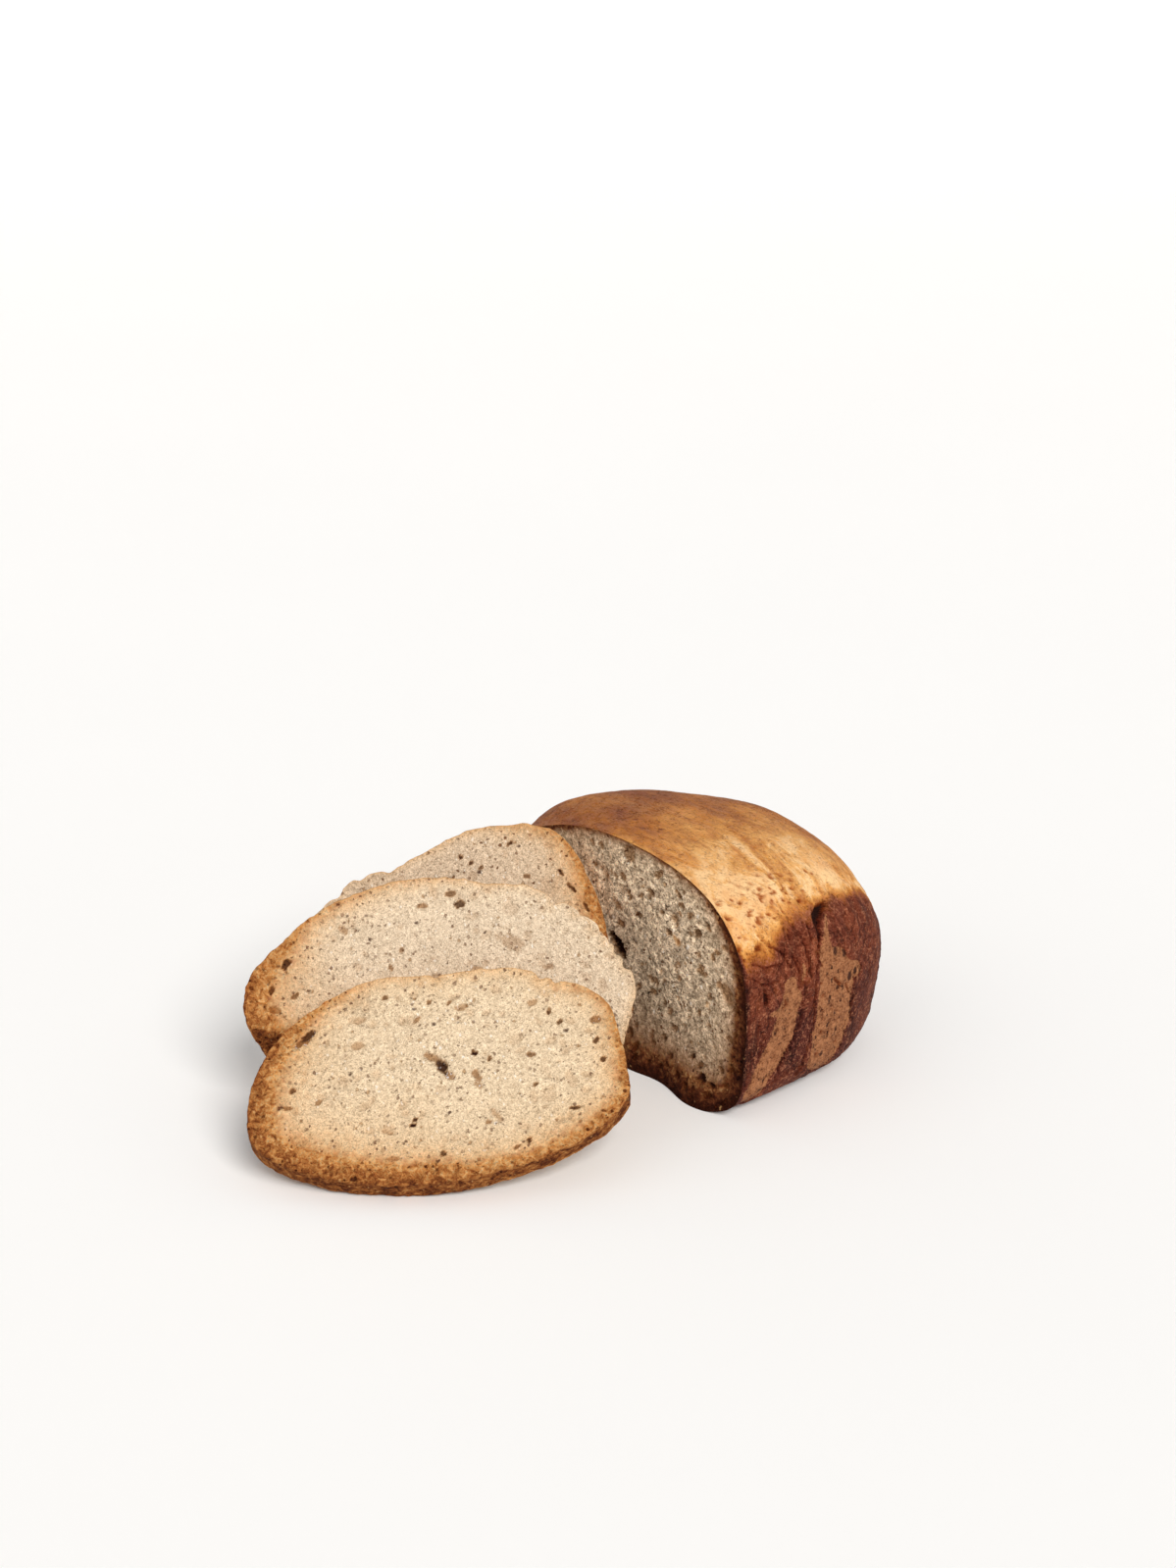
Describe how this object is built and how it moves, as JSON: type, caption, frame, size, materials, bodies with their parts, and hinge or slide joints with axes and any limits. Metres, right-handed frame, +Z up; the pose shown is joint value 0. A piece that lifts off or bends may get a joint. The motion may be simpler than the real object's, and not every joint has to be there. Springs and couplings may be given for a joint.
{
  "type": "part-sliced tin loaf",
  "caption": "Square-shouldered tin loaf with a flat cut end and a domed crust, its cut slices leaning in a row against the cut face.",
  "frame": {"origin": "middle of the footprint of the loaf and its slices together, on the table", "axes": "+Y along the loaf from its cut face to its baked end, +X across the tin, +Z up"},
  "size_m": [0.135, 0.2428, 0.0868],
  "materials": {
    "crust": "baked golden to dark brown, dull satin",
    "crumb": "open porous crumb, matte, with a thin brown crust at the rim"
  },
  "bodies": {
    "root": {"loaf": "crust", "slice_rear": "crumb", "slice_middle": "crumb", "slice_front": "crumb"}
  },
  "joints": []
}
